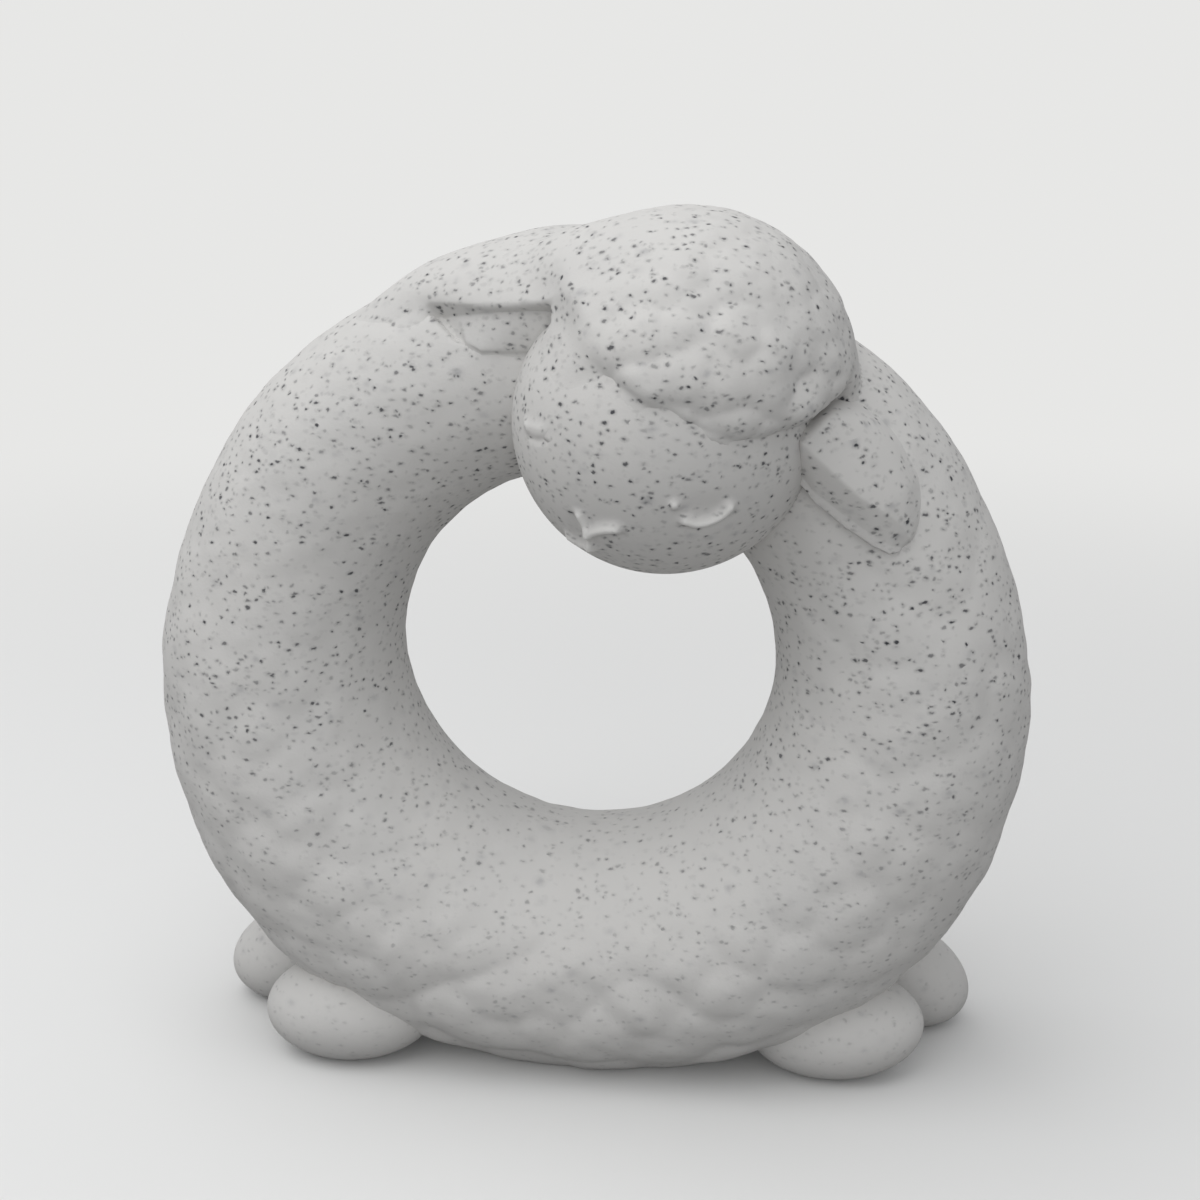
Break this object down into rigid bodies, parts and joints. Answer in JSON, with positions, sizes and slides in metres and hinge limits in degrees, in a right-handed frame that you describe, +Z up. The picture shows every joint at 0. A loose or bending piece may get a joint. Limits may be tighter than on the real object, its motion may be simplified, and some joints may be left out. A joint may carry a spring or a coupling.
{
  "type": "lamb ornament",
  "caption": "Free-standing ring-shaped lamb ornament of speckled cast stone, with a bowed head, fleece cap, folded ears and small hooves, bonded together on hidden dowels.",
  "frame": {"origin": "on the floor under the middle of the overall box", "axes": "+Z up, -Y towards the viewer whom the lamb's head faces, +X to that viewer's right"},
  "size_m": [0.2016, 0.0864, 0.2033],
  "materials": {
    "speckled_stone": "matte, dark flecks",
    "plain_stone": "matte, few flecks",
    "dowel_steel": "drawn bar"
  },
  "bodies": {
    "root": {"body_front_half": "speckled_stone", "body_back_half": "speckled_stone", "face": "speckled_stone", "fleece_cap": "speckled_stone", "left_ear": "speckled_stone", "right_ear": "speckled_stone", "front_left_hoof": "plain_stone", "front_right_hoof": "plain_stone", "back_left_hoof": "plain_stone", "back_right_hoof": "plain_stone", "body_dowel_upper_right": "dowel_steel", "body_dowel_lower_right": "dowel_steel", "body_dowel_lower_left": "dowel_steel", "body_dowel_upper_left": "dowel_steel", "head_dowel_left": "dowel_steel", "head_dowel_right": "dowel_steel", "cap_dowel": "dowel_steel", "left_ear_dowel": "dowel_steel", "right_ear_dowel": "dowel_steel", "front_left_hoof_dowel": "dowel_steel", "front_right_hoof_dowel": "dowel_steel", "back_left_hoof_dowel": "dowel_steel", "back_right_hoof_dowel": "dowel_steel"}
  },
  "joints": []
}
